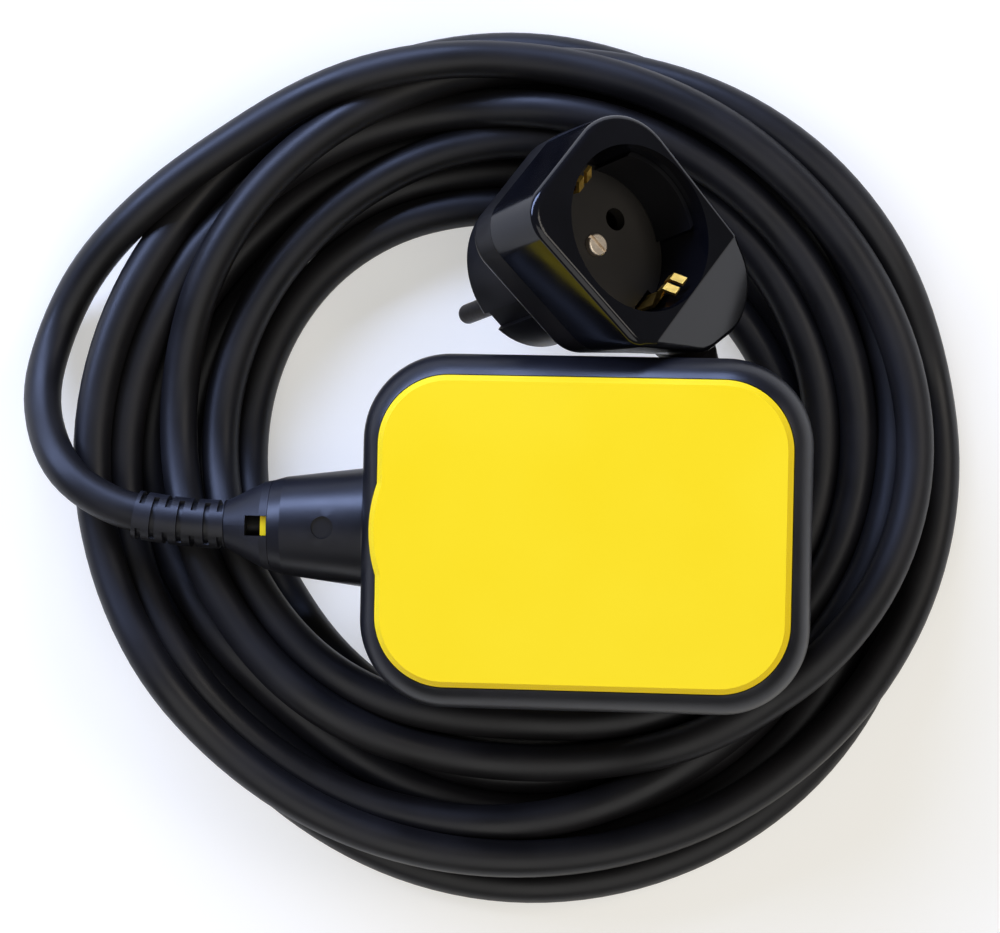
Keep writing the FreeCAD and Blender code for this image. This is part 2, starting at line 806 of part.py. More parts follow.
def make_carrier(axis_point):
    """Base plate with the race cradle, pin lugs, switch posts and the cable saddle."""
    start = -carrier_start
    end = start + of.carrier_length
    wide = of.carrier_width / 2
    shape = block(start, end, -wide, wide, carrier_low, carrier_top)
    for x in (-race_half + 2, race_half - 4):
        rib = block(x, x + 2, -race_outer - 1.2, race_outer + 1.2, carrier_top, -race_drop)
        shape = shape.fuse(rib)
    trough = cylinder(
        race_outer + 0.1, 2 * of.trough_reach, in_plain(-of.trough_reach, 0, -race_drop), Vector(1, 0, 0)
    )
    lug_in = of.lever_width / 2 + 0.3
    for side in (-1, 1):
        near, far = sorted((side * float(lug_in), side * (float(lug_in) + 2)))
        lug = block(axis_point.x - 2.4, axis_point.x + 2.1, near, far, carrier_top, axis_point.z + 2.2)
        shape = shape.fuse(lug)
    pin_hole = cylinder(of.pin_radius + 0.01, 20, axis_point - Vector(0, 10, 0), Vector(0, 1, 0))
    post_in = of.switch_width / 2 + of.switch_cover + 0.25
    for side in (-1, 1):
        for x in (-of.switch_length / 2 + 1.5, of.switch_length / 2 - 4.5):
            near = side * float(post_in)
            near, far = sorted((near, near + side * 2.4))
            post = block(x, x + 4, near, far, carrier_top, switch_floor + of.switch_height * 0.6)
            shape = shape.fuse(post)
    saddle_end = start + of.clamp_length
    saddle = block(start, saddle_end, -of.clamp_width / 2, of.clamp_width / 2, carrier_top, -0.3)
    shape = shape.fuse(saddle)
    shape = shape.cut(cylinder(cable_radius + 0.02, 40, in_plain(start - 5, 0, 0), Vector(1, 0, 0)))
    shape = shape.cut(trough).cut(pin_hole)
    for x, y in clamp_spots():
        shape = shape.cut(cylinder(of.small_screw + 0.02, 10, Vector(x, y, -9), Vector(0, 0, 1)))
    for x, y in carrier_spots():
        shape = shape.cut(cylinder(of.small_screw + 0.1, 6, in_plain(x, y, carrier_low - 1)))
    piece = feature_of("switch_carrier", shape.removeSplitter())
    piece.Placement = float_place


def in_plain(x, y, z):
    return Vector(float(x), float(y), float(z))


def clamp_spots():
    x = -float(carrier_start) + float(of.clamp_length) / 2
    y = float(of.clamp_width / 2 - of.clamp_hole_side)
    return [(x, -y), (x, y)]


def carrier_spots():
    back = of.carrier_hole_back - carrier_start
    front = of.carrier_length - carrier_start - of.carrier_hole_front
    side = of.carrier_width / 2 - of.carrier_hole_side
    return [(x, y) for x in (back, front) for y in (-side, side)]


def screw(spot, head_z, length):
    """Pan-head screw with its head's underside at head_z."""
    x, y = float(spot[0]), float(spot[1])
    shank = cylinder(of.small_screw, length, Vector(x, y, head_z - length))
    head = cylinder(of.small_screw_head, 1.5, Vector(x, y, head_z))
    slot = block(x - 3, x + 3, y - 0.4, y + 0.4, head_z + 0.8, head_z + 2)
    return shank.fuse(head).cut(slot)


def make_screws(label, spots, head_z, length, place):
    piece = feature_of(label, Part.makeCompound([screw(spot, head_z, length) for spot in spots]))
    piece.Placement = place


def make_clamp():
    start = -carrier_start
    shape = block(
        start, start + of.clamp_length, -of.clamp_width / 2, of.clamp_width / 2, 0.3, of.clamp_height
    )
    shape = shape.cut(cylinder(cable_radius + 0.02, 40, in_plain(start - 5, 0, 0), Vector(1, 0, 0)))
    for x, y in clamp_spots():
        shape = shape.cut(cylinder(of.small_screw + 0.1, 2 * of.clamp_height, Vector(x, y, -1)))
    piece = feature_of("cable_clamp", shape)
    piece.Placement = float_place
    make_screws("clamp_screws", clamp_spots(), float(of.clamp_height), float(of.clamp_screw_length), float_place)


switch_floor = hinge_z + of.plunger_arm * math.sin(rest_slope) + of.lever_thickness + 1.2 + of.switch_lift
plunger_x = hinge_x + of.plunger_arm


def make_switch():
    case = new_body("microswitch_case")
    sketch = new_sketch(case, "XZ_Plane")
    draw_rectangle(
        sketch,
        -of.switch_length / 2,
        of.switch_length / 2,
        switch_floor,
        switch_floor + of.switch_height,
    )
    pad(case, sketch, of.switch_width, False, True)
    sketch = new_sketch(case, "XY_Plane", switch_floor)
    draw_circle(sketch, plunger_x, 0, of.plunger_radius + 0.1)
    pocket(case, sketch, of.plunger_length, True)
    case.Placement = float_place
    cover = new_body("microswitch_cover")
    sketch = new_sketch(cover, "XZ_Plane", -(of.switch_width / 2))
    draw_rectangle(
        sketch,
        -of.switch_length / 2,
        of.switch_length / 2,
        switch_floor,
        switch_floor + of.switch_height,
    )
    pad(cover, sketch, of.switch_cover, True)
    cover.Placement = float_place
    plunger = doc.addObject("Part::Cylinder", "switch_plunger")
    plunger.Label = "switch_plunger"
    bind(plunger, "Radius", of.plunger_radius)
    bind(plunger, "Height", of.plunger_length)
    tip = float(hinge_z) + float(of.plunger_arm) * math.sin(rest_slope)
    tip += float(of.lever_thickness) / math.cos(rest_slope) + float(of.lever_gap)
    tip += float(of.plunger_radius) * math.tan(rest_slope)
    plunger.Placement = Placement(in_float(plunger_x, 0, tip), tilt)
    tabs = []
    for z in tab_heights():
        tabs.append(
            block(
                -of.switch_length / 2 - of.tab_length,
                -of.switch_length / 2 + 0.0,
                -of.tab_width / 2,
                of.tab_width / 2,
                z - float(of.tab_thickness) / 2,
                z + float(of.tab_thickness) / 2,
            )
        )
    piece = feature_of("switch_terminals", Part.makeCompound(tabs))
    piece.Placement = float_place


def tab_heights():
    low = float(switch_floor) + 2.5
    return [low, low + 4.5, low + 9.0]


def make_conductors():
    """The two cores in use, from the end of the jacket to the switch tabs."""
    jacket_end = -float(carrier_start) + float(of.clamp_length) + 1.5
    tab_end = -float(of.switch_length) / 2 - float(of.tab_length) - 0.05
    for label, side, z in (
        ("conductor_brown", -1, tab_heights()[0]),
        ("conductor_blue", 1, tab_heights()[1]),
    ):
        start = (jacket_end + 0.05, 1.9 * side, 0.0)
        run = tab_end - jacket_end
        route = [
            start,
            (jacket_end + 0.28 * run, 1.9 * side, 0.0),
            (tab_end - 0.31 * run, 1.2 * side, z),
            (tab_end, 1.2 * side, z),
        ]
        piece = feature_of(label, tube(route, of.core_diameter, label))
        piece.Placement = float_place
    shape = cylinder(
        cable_radius - 0.02, jacket_end - float(cone_end), Vector(float(cone_end), 0, 0), Vector(1, 0, 0)
    )
    piece = feature_of("cable_jacket_end", shape)
    piece.Placement = float_place


# Through-socket plug: its own frame has X towards the cable outlet and Z out of the socket

plug_out = Vector(0.568, 0.194, 0.80).normalize()
plug_long = Vector(0.656, -0.694, -0.297)
plug_long = (plug_long - plug_out * plug_long.dot(plug_out)).normalize()
plug_across = plug_out.cross(plug_long)
plug_place = Placement(
    Vector(float(of.plug_x), float(of.plug_y), float(of.plug_z)),
    Rotation(plug_long, plug_across, plug_out, "XYZ"),
)

# Corner circles (x, y, radius) of the plug's outline at its front, its seam and its back
FRONT = [(-16.2, -14.2, 8.2), (14.6, -17.2, 5.2), (24.0, 1.5, 12.0), (24.0, 7.5, 12.5), (-9.4, 6.8, 15.0)]
SEAM = [(-16.4, -14.4, 8.6), (8.6, -12.2, 10.6), (20.5, 4.5, 14.0), (23.5, 8.0, 13.0), (-9.6, 7.0, 15.4)]
BACK = [(-16.0, -14.4, 8.4), (7.0, -12.6, 10.2), (18.5, 4.8, 13.4), (21.5, 8.0, 12.4), (-9.4, 6.8, 15.2)]
boot_angle = 30.0


def loft(low, z_low, high, z_high, wall=0.0):
    """A solid between two outlines, each drawn in by a wall."""
    wires = [hull_wire(grown(low, -wall), z_low), hull_wire(grown(high, -wall), z_high)]
    return Part.makeLoft(wires, True, True)


def slope(lift, reach=60):
    """What lies above the sloping end of the front shell, lowered by a wall."""
    start = float(of.slope_start)
    drop = reach * math.tan(math.radians(float(of.slope_angle)))
    corners = [(start, -lift), (start + reach, -lift - drop), (start + reach, 20), (start, 20)]
    if lift:
        corners[0] = (start - lift, -lift)
        corners[3] = (start - lift, 20)
    points = [Vector(x, -60, z) for x, z in corners]
    face = Part.Face(Part.makePolygon(points + points[:1]))
    return face.extrude(Vector(0, 120, 0))


def make_plug():
    depth = float(of.shell_depth)
    recess = float(of.recess_radius)
    floor = -float(of.recess_depth)
    wall = float(of.shell_wall)
    under = floor - float(of.insert_thickness)
    shell = loft(SEAM, -depth, FRONT, 0.0).cut(slope(0.0)).removeSplitter()
    rim = [edge for edge in shell.Edges if edge.BoundBox.ZMin > -depth + 3]
    shell = shell.makeFillet(float(of.shell_edge), rim)
    hollow = loft(SEAM, -depth - 0.1, FRONT, -wall, wall).cut(slope(wall))
    collar = cylinder(recess + float(of.recess_wall), -under, Vector(0, 0, under))
    shell = shell.cut(hollow.cut(collar))
    shell = shell.fuse(collar.common(block(-40, 50, -40, 40, under, -1)))
    shell = shell.cut(cylinder(recess, 60, Vector(0, 0, under - 1)))
    piece = feature_of("socket_shell", shell.removeSplitter())
    piece.Placement = plug_place

    back = -float(of.shell_back)
    rear = loft(BACK, back, SEAM, -depth - 0.1)
    rear = rear.makeFillet(1.8, [edge for edge in rear.Edges if edge.BoundBox.ZMax < back + 0.01])
    reach = -float(of.boss_reach)
    boss = cylinder(of.boss_radius, back - reach + 1, Vector(0, 0, reach))
    boss = boss.makeFillet(0.8, [edge for edge in boss.Edges if edge.BoundBox.ZMax < reach + 0.01])
    rear = rear.fuse(boss)
    outlet = boot_own()
    seat = cylinder(float(of.boot_root_radius) + 1.8, 11, Vector(0, 0, -6))
    seat.Placement = outlet
    keep = block(-40, 60, -40, 40, -60, -depth - 0.1)
    rear = rear.fuse(seat.common(keep))
    rear = rear.cut(loft(BACK, back + wall, SEAM, 0, wall - 0.2))
    rear = rear.cut(cylinder(float(of.boss_radius) - float(of.boss_wall), 60, Vector(0, 0, reach + float(of.boss_wall))))
    bore = cylinder(float(of.boot_root_radius) + 0.05, 60, Vector(0, 0, -6))
    bore.Placement = outlet
    rear = rear.cut(bore)
    rear = rear.cut(cylinder(recess + float(of.recess_wall) + 0.1, 10, Vector(0, 0, under - 0.1)))
    rear = rear.fuse(cylinder(of.post_radius, under - 2.2 - reach, Vector(0, 0, reach + 0.5)))
    rear = rear.cut(cylinder(float(of.centre_screw_shank) + 0.03, 30, Vector(0, 0, reach + 6)))
    for side in (-1, 1):
        rear = rear.cut(
            cylinder(float(of.plug_pin_root) + 0.02, 60, Vector(0, side * float(of.plug_pin_spacing) / 2, -80))
        )
        keyway = block(-2.6, 2.6, *sorted((side * 16.6, side * 20.0)), reach - 1, back - 1)
        rear = rear.cut(keyway)
        slot = block(*sorted((side * 15.8, side * 20.0)), -3.1, 3.1, reach + 3.0, back - 3.0)
        rear = rear.cut(slot)
    piece = feature_of("plug_shell", rear.removeSplitter())
    piece.Placement = plug_place
    make_insert(floor)
    make_pins(reach, floor)
    make_strap(floor, back)
    make_boot()


def make_insert(floor):
    """Floor of the recess, with its pin holes, guide ribs and slots for the earth clips."""
    thick = float(of.insert_thickness)
    shape = cylinder(float(of.recess_radius) - 0.1, thick, Vector(0, 0, floor - thick))
    ribs = cylinder(float(of.recess_radius) - 0.1, -floor - 4, Vector(0, 0, floor - 0.5))
    ribs = ribs.cut(cylinder(float(of.recess_radius) - 1.3, 40, Vector(0, 0, floor - 2)))
    sides = block(-11.5, 11.5, -40, 40, floor - 2, 5)
    shape = shape.fuse(ribs.common(sides))
    for side in (-1, 1):
        spot = Vector(0, side * float(of.plug_pin_spacing) / 2, floor - 10)
        shape = shape.cut(cylinder(of.pin_hole_radius, 20, spot))
        shape = shape.cut(block(*sorted((side * 16.9, side * 19.6)), -3.2, 3.2, floor - 6, floor + 1))
    shape = shape.cut(cylinder(float(of.centre_screw_shank) + 0.1, 20, Vector(0, 0, floor - 10)))
    piece = feature_of("socket_insert", shape.removeSplitter())
    piece.Placement = plug_place


def make_pins(reach, floor):
    shank = float(of.plug_pin_radius)
    contact_end = reach + 4.5
    contact_top = floor - float(of.insert_thickness) - 0.1
    for label, twin, side in (
        ("plug_pin_live", "contact_live", -1),
        ("plug_pin_neutral", "contact_neutral", 1),
    ):
        y = side * float(of.plug_pin_spacing) / 2
        tip = reach - float(of.plug_pin_length)
        pin = cylinder(shank, contact_end - tip, Vector(0, y, tip))
        pin = pin.makeFillet(shank * 0.8, [edge for edge in pin.Edges if edge.BoundBox.ZMax < tip + 0.01])
        pin = pin.fuse(cylinder(of.plug_pin_root, float(of.boss_wall) + 1.5, Vector(0, y, reach)))
        pin = pin.fuse(cylinder(shank + 1.2, 1.5, Vector(0, y, reach + float(of.boss_wall) + 0.02)))
        piece = feature_of(label, pin)
        piece.Placement = plug_place
        outer = float(of.contact_radius)
        sleeve = cylinder(outer, contact_top - contact_end, Vector(0, y, contact_end))
        sleeve = sleeve.cut(cylinder(of.pin_hole_radius, 40, Vector(0, y, contact_end + 1.0)))
        sleeve = sleeve.cut(block(-5, 5, y - 0.4, y + 0.4, contact_end + 6, contact_top + 1))
        piece = feature_of(twin, sleeve)
        piece.Placement = plug_place
    head = float(of.centre_screw_head)
    length = -floor + reach + 14
    screw_shape = cylinder(of.centre_screw_shank, 16, Vector(0, 0, floor - 15.9))
    screw_shape = screw_shape.fuse(cylinder(head, 1.4, Vector(0, 0, floor + 0.02)))
    screw_shape = screw_shape.makeFillet(0.5, [e for e in screw_shape.Edges if e.BoundBox.ZMin > floor + 1.4])
    screw_shape = screw_shape.cut(block(-4, 4, -0.45, 0.45, floor + 0.6, floor + 3))
    piece = feature_of("socket_screw", screw_shape)
    piece.Placement = plug_place


def make_strap(floor, back):
    """One brass strip: a bowed clip each side of the recess, joined under the insert."""
    wide = float(of.strap_width)
    thick = float(of.strap_thickness)
    under = floor - float(of.insert_thickness) - 0.7
    half = [
        (17.6, floor + 14.5),
        (15.4, floor + 12.2),
        (15.6, floor + 10.2),
        (18.4, floor + 5.5),
        (18.4, under),
    ]
    clip = strip(half + [(8.0, under)], thick, wide)
    half_gap = float(of.prong_gap) / 2
    clip = clip.cut(block(12, 20, -half_gap, half_gap, floor + 6, floor + 20))
    other = clip.mirror(Vector(0, 0, 0), Vector(1, 0, 0))
    ring = cylinder(9.0, thick, Vector(0, 0, under - thick / 2))
    ring = ring.common(block(-9, 9, -5.5, 5.5, under - 2, under + 2))
    ring = ring.cut(cylinder(float(of.post_radius) + 0.3, 10, Vector(0, 0, under - 5)))
    shape = clip.fuse(other).fuse(ring)
    piece = feature_of("earth_strap", shape.removeSplitter())
    piece.Placement = plug_place


def boot_own():
    """Where the boot leaves the rear shell: its Z runs along the cable."""
    angle = math.radians(boot_angle)
    along = Vector(math.cos(angle), 0, -math.sin(angle))
    side = Vector(0, 1, 0)
    return Placement(Vector(30.5, 8.5, -23.0), Rotation(side.cross(along), side, along, "XYZ"))


def boot_frame():
    return plug_place.multiply(boot_own())


def make_boot():
    root = float(of.boot_root_radius)
    tip = float(of.boot_tip_radius)
    length = float(of.boot_length)
    shape = lathe([(0, 0), (0, root), (3, root), (length, tip), (length, 0)], "Z")
    rings = 5
    for ring in range(rings):
        at = 6.0 + ring * 3.0
        groove = cylinder(root + 2, 1.1, Vector(0, 0, at)).cut(cylinder(tip - 0.9 + 0.6 * (1 - ring / rings), 3, Vector(0, 0, at - 1)))
        half = block(-10, 10, 1.5, 10, 0, 40) if ring % 2 else block(-10, 10, -10, -1.5, 0, 40)
        shape = shape.cut(groove.common(half))
    shape = shape.cut(cylinder(cable_radius + 0.02, 60, Vector(0, 0, -10)))
    piece = feature_of("plug_boot", shape.removeSplitter())
    piece.Placement = boot_frame()


# Cable

cable_exit = sleeve_frame(float(of.sleeve_length))
lead_start = in_float(cone_end, 0, 0)


def make_coil():
    body = new_body("cable_coil")
    sketch = new_sketch(body, "XZ_Plane")
    low = -of.floor_drop
    draw_rectangle(sketch, of.coil_inner, of.coil_outer, low, low + of.coil_height)
    turn(body, "Revolution", sketch, "V_Axis")
    dress(body, "Fillet", of.coil_round, lambda edge: edge.Length > 100)
    body.Placement = Placement(Vector(float(of.coil_x), float(of.coil_y), 0), Rotation())


FLOAT_LEAD = [
    (-57.9, 0.0, -8.3),
    (-72.0, 0.6, -9.7),
    (-86.5, 4.0, -13.5),
    (-98.5, 12.5, -24.0),
    (-105.2, 28.5, -32.5),
    (-102.0, 46.0, -35.4),
    (-93.5, 61.5, -33.0),
    (-80.0, 75.0, -26.5),
    (-67.0, 85.0, -20.5),
    (-53.0, 94.0, -19.5),
]


def make_leads():
    feature_of("cable_lead_float", tube(FLOAT_LEAD, of.cable_diameter, "cable_lead_float"))
    frame = boot_frame()
    route = [tuple(frame.multVec(Vector(0, 0, along))) for along in (4.0, 15.0)] + PLUG_LEAD
    feature_of("cable_lead_plug", tube(route, of.cable_diameter, "cable_lead_plug"))
    print("plug lead starts", [[round(v, 1) for v in point] for point in route[:2]])


PLUG_LEAD = [
    (56.2, 28.8, -31.5),
    (56.3, 13.7, -34.6),
    (50.4, -0.2, -35.4),
    (39.7, -10.8, -35.4),
    (25.7, -16.5, -35.4),
    (10.6, -16.4, -35.4),
    (-3.3, -10.5, -35.4),
    (-13.9, 0.3, -35.4),
    (-27.1, 5.8, -35.4),
    (-41.4, 5.9, -35.4),
    (-54.7, 0.6, -35.4),
    (-64.9, -9.5, -35.4),
]

make_casing("upper_casing", 1)
make_casing("lower_casing", -1)
make_panel("top_panel", 1)
make_panel("bottom_panel", -1)
make_seal()
make_collar()
make_relief()
make_race()
make_ball()
pin_point = make_lever()
make_lever_pin(pin_point)
make_carrier(pin_point)
make_clamp()
make_switch()
make_conductors()
make_screws("carrier_screws", carrier_spots(), float(carrier_top), 3.1, float_place)
make_plug()
make_coil()
make_leads()
doc.recompute()

bodies = [item for item in doc.Objects if item.TypeId == "PartDesign::Body"]
features = [item for item in doc.Objects if item.TypeId == "Part::Feature"]
primitives = [item for item in doc.Objects if item.TypeId in ("Part::Sphere", "Part::Cylinder")]
pieces = bodies + features + primitives
faults = [item for item in doc.Objects if "Invalid" in item.State or "Error" in item.State]
for item in faults:
    print(item.Name, item.Label, "failed", item.State, [parent.Label for parent in item.InList])
faults += [piece for piece in pieces if piece.Shape.isNull() or not piece.Shape.isValid()]
if faults:
    sys.exit("not built: " + ", ".join(item.Label for item in faults))
os.makedirs("parts", exist_ok=True)
for piece in pieces:
    piece.Shape.exportStep(f"parts/{piece.Label}.step")
    print(piece.Label, "solids", len(piece.Shape.Solids), "volume", round(piece.Shape.Volume, 1))
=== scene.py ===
"""Looks of the cable float switch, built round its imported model."""

import json
import math

import bmesh
import bpy
from mathutils import Matrix, Vector


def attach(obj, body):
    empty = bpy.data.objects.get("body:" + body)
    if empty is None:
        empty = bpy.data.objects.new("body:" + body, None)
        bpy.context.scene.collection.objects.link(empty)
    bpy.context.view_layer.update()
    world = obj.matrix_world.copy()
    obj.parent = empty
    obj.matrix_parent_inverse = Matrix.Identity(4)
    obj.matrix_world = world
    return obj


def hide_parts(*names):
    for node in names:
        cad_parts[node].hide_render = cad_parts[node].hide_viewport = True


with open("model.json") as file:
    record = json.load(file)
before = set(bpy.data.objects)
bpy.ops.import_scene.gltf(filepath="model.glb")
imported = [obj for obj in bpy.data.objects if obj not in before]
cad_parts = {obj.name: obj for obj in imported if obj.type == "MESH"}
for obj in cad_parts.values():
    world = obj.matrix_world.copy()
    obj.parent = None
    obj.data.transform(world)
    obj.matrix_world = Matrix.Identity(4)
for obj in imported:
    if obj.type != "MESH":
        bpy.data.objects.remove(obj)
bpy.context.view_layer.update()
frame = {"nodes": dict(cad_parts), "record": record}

# Places and sizes in metres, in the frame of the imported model.
FLOOR_HEIGHT = -0.040
FLOOR_REACH = 6.0
CABLE_WIDTH = 0.009
COIL_MIDDLE = (0.012, 0.015)
PLUG_MIDDLE = (0.03675, 0.0696, 0.017)
PLUG_AXIS = (0.568, 0.194, 0.80)

# Heights along the plug's axis, from its middle.
RIB_FOOT = -0.0173
RIB_START = -0.0171
# Below these heights the brass contacts and the pins get painted shade.
BRASS_PAINTED_SHADE_HEIGHT = -0.018
PIN_PAINTED_SHADE_HEIGHT = -0.041
PAINTED_SHADE_FADE = 0.0015

MILLIMETRES = 1000


def coords(tree):
    """Object coordinates of the piece."""
    node = tree.nodes.new("ShaderNodeTexCoord")
    return node.outputs["Object"]


def add_node(tree, kind, **settings):
    """A node with its own settings."""
    node = tree.nodes.new(kind)
    for name, value in settings.items():
        setattr(node, name, value)
    return node


def noise(tree, vector, scale, detail, roughness):
    """Noise texture at a scale per metre; its Fac is the value that is used."""
    node = add_node(tree, "ShaderNodeTexNoise")
    node.inputs["Scale"].default_value = scale
    node.inputs["Detail"].default_value = detail
    node.inputs["Roughness"].default_value = roughness
    tree.links.new(vector, node.inputs["Vector"])
    return node


def spread(tree, value, low, high, out_low, out_high):
    """Stretch of a value from one range to another, held at its ends."""
    node = add_node(tree, "ShaderNodeMapRange")
    node.inputs["From Min"].default_value = low
    node.inputs["From Max"].default_value = high
    node.inputs["To Min"].default_value = out_low
    node.inputs["To Max"].default_value = out_high
    tree.links.new(value, node.inputs["Value"])
    return node.outputs["Result"]


def mix_colours(tree, mask, first, second):
    """Between two colours, or sockets, by a mask."""
    node = add_node(tree, "ShaderNodeMix", data_type="RGBA")
    tree.links.new(mask, node.inputs["Factor"])
    for socket, value in ((node.inputs["A"], first), (node.inputs["B"], second)):
        if isinstance(value, tuple):
            socket.default_value = value + (1.0,)
        else:
            tree.links.new(value, socket)
    return node.outputs["Result"]


def combine(tree, operation, first, second):
    """Two value sockets put together by a maths operation."""
    node = add_node(tree, "ShaderNodeMath", operation=operation)
    tree.links.new(first, node.inputs[0])
    tree.links.new(second, node.inputs[1])
    return node.outputs["Value"]


def bump(tree, height, strength, distance):
    """Normal of a surface that a height raises by a distance in metres."""
    node = add_node(tree, "ShaderNodeBump")
    node.inputs["Strength"].default_value = strength
    node.inputs["Distance"].default_value = distance
    tree.links.new(height, node.inputs["Height"])
    return node.outputs["Normal"]


def make_grain_group():
    """Fine moulded or rubber grain with slow patches: a height and a patch value."""
    group = bpy.data.node_groups.new("moulded_grain", "ShaderNodeTree")
    face = group.interface
    face.new_socket(name="Vector", in_out="INPUT", socket_type="NodeSocketVector")
    face.new_socket(name="Grain Scale", in_out="INPUT", socket_type="NodeSocketFloat")
    face.new_socket(name="Patch Scale", in_out="INPUT", socket_type="NodeSocketFloat")
    face.new_socket(name="Height", in_out="OUTPUT", socket_type="NodeSocketFloat")
    face.new_socket(name="Patch", in_out="OUTPUT", socket_type="NodeSocketFloat")
    source = group.nodes.new("NodeGroupInput")
    target = group.nodes.new("NodeGroupOutput")
    fine = noise(group, source.outputs["Vector"], 1.0, 4.0, 0.65)
    group.links.new(source.outputs["Grain Scale"], fine.inputs["Scale"])
    slow = noise(group, source.outputs["Vector"], 1.0, 3.0, 0.5)
    group.links.new(source.outputs["Patch Scale"], slow.inputs["Scale"])
    group.links.new(fine.outputs["Fac"], target.inputs["Height"])
    group.links.new(slow.outputs["Fac"], target.inputs["Patch"])
    return group


def make_edge_group():
    """Wear along worn edges, from the pointiness of the surface and a broken noise."""
    group = bpy.data.node_groups.new("edge_wear", "ShaderNodeTree")
    face = group.interface
    face.new_socket(name="Vector", in_out="INPUT", socket_type="NodeSocketVector")
    face.new_socket(name="Wear", in_out="OUTPUT", socket_type="NodeSocketFloat")
    source = group.nodes.new("NodeGroupInput")
    target = group.nodes.new("NodeGroupOutput")
    shape = add_node(group, "ShaderNodeNewGeometry")
    sharp = spread(group, shape.outputs["Pointiness"], 0.50, 0.58, 0.0, 1.0)
    broken = noise(group, source.outputs["Vector"], 260.0, 3.0, 0.6)
    limit = spread(group, broken.outputs["Fac"], 0.40, 0.62, 0.0, 1.0)
    group.links.new(combine(group, "MULTIPLY", sharp, limit), target.inputs["Wear"])
    return group


grain_group = make_grain_group()
edge_group = make_edge_group()


def start_material(name):
    """A new material with its tree and its Principled shader."""
    material = bpy.data.materials.new(name)
    material.use_nodes = True
    tree = material.node_tree
    return material, tree, tree.nodes["Principled BSDF"]


def use_grain(tree, place, grain, patch):
    """The grain group with its own scales."""
    node = add_node(tree, "ShaderNodeGroup", node_tree=grain_group)
    tree.links.new(place, node.inputs["Vector"])
    node.inputs["Grain Scale"].default_value = grain
    node.inputs["Patch Scale"].default_value = patch
    return node


def use_wear(tree, place):
    """Mask of the worn edges."""
    node = add_node(tree, "ShaderNodeGroup", node_tree=edge_group)
    tree.links.new(place, node.inputs["Vector"])
    return node.outputs["Wear"]


def plug_height(tree, place):
    """Height of a spot along the plug's own axis, from its middle."""
    from_middle = add_node(tree, "ShaderNodeVectorMath", operation="SUBTRACT")
    from_middle.inputs[1].default_value = PLUG_MIDDLE
    tree.links.new(place, from_middle.inputs[0])
    along = add_node(tree, "ShaderNodeVectorMath", operation="DOT_PRODUCT")
    along.inputs[1].default_value = PLUG_AXIS
    tree.links.new(from_middle.outputs["Vector"], along.inputs[0])
    return along.outputs["Value"]


def moulded(name, colour, second, rough, grain=900.0, depth=0.00004, patch=40.0, worn=None, level=0.5):
    """Moulded plastic or rubber: two tones in patches, grain and worn edges."""
    material, tree, shader = start_material(name)
    place = coords(tree)
    skin = use_grain(tree, place, grain, patch)
    patches = spread(tree, skin.outputs["Patch"], 0.35, 0.65, 0.0, 1.0)
    base = mix_colours(tree, patches, colour, second)
    if worn:
        base = mix_colours(tree, use_wear(tree, place), base, worn)
    dullness = spread(tree, skin.outputs["Patch"], 0.3, 0.7, rough - 0.05, rough + 0.07)
    tree.links.new(base, shader.inputs["Base Color"])
    tree.links.new(dullness, shader.inputs["Roughness"])
    tree.links.new(bump(tree, skin.outputs["Height"], 0.5, depth), shader.inputs["Normal"])
    shader.inputs["Specular IOR Level"].default_value = level
    return material


def make_insert_finish():
    """Dull brownish floor of the recess; its guide ribs are black and smoother."""
    material, tree, shader = start_material("socket_floor")
    place = coords(tree)
    skin = use_grain(tree, place, grain=800.0, patch=60.0)
    patches = spread(tree, skin.outputs["Patch"], 0.35, 0.65, 0.0, 1.0)
    dull = mix_colours(tree, patches, (0.011, 0.0095, 0.008), (0.018, 0.015, 0.012))
    ribs = spread(tree, plug_height(tree, place), RIB_FOOT, RIB_START, 0.0, 1.0)
    tree.links.new(mix_colours(tree, ribs, dull, (0.005, 0.005, 0.006)), shader.inputs["Base Color"])
    tree.links.new(spread(tree, ribs, 0.0, 1.0, 0.50, 0.24), shader.inputs["Roughness"])
    tree.links.new(bump(tree, skin.outputs["Height"], 0.5, 0.00002), shader.inputs["Normal"])
    shader.inputs["Specular IOR Level"].default_value = 0.4
    return material


def metal(name, colour, second, rough, painted_shade_colour=None, painted_shade_height=None):
    """Metal with a fine grain and duller patches, with painted shade below a height in the plug."""
    material, tree, shader = start_material(name)
    place = coords(tree)
    fine = noise(tree, place, 900.0, 3.0, 0.6)
    slow = noise(tree, place, 150.0, 3.0, 0.6)
    dull = spread(tree, slow.outputs["Fac"], 0.4, 0.7, 0.0, 1.0)
    base = mix_colours(tree, dull, colour, second)
    # Painted shade: below the given height along the plug's axis the metal takes a dark colour.
    if painted_shade_colour:
        height = plug_height(tree, place)
        inside = spread(tree, height, painted_shade_height - PAINTED_SHADE_FADE, painted_shade_height, 1.0, 0.0)
        base = mix_colours(tree, inside, base, painted_shade_colour)
    dullness = spread(tree, fine.outputs["Fac"], 0.3, 0.7, rough - 0.06, rough + 0.10)
    tree.links.new(base, shader.inputs["Base Color"])
    tree.links.new(dullness, shader.inputs["Roughness"])
    tree.links.new(bump(tree, fine.outputs["Fac"], 0.3, 0.00002), shader.inputs["Normal"])
    shader.inputs["Metallic"].default_value = 1.0
    return material


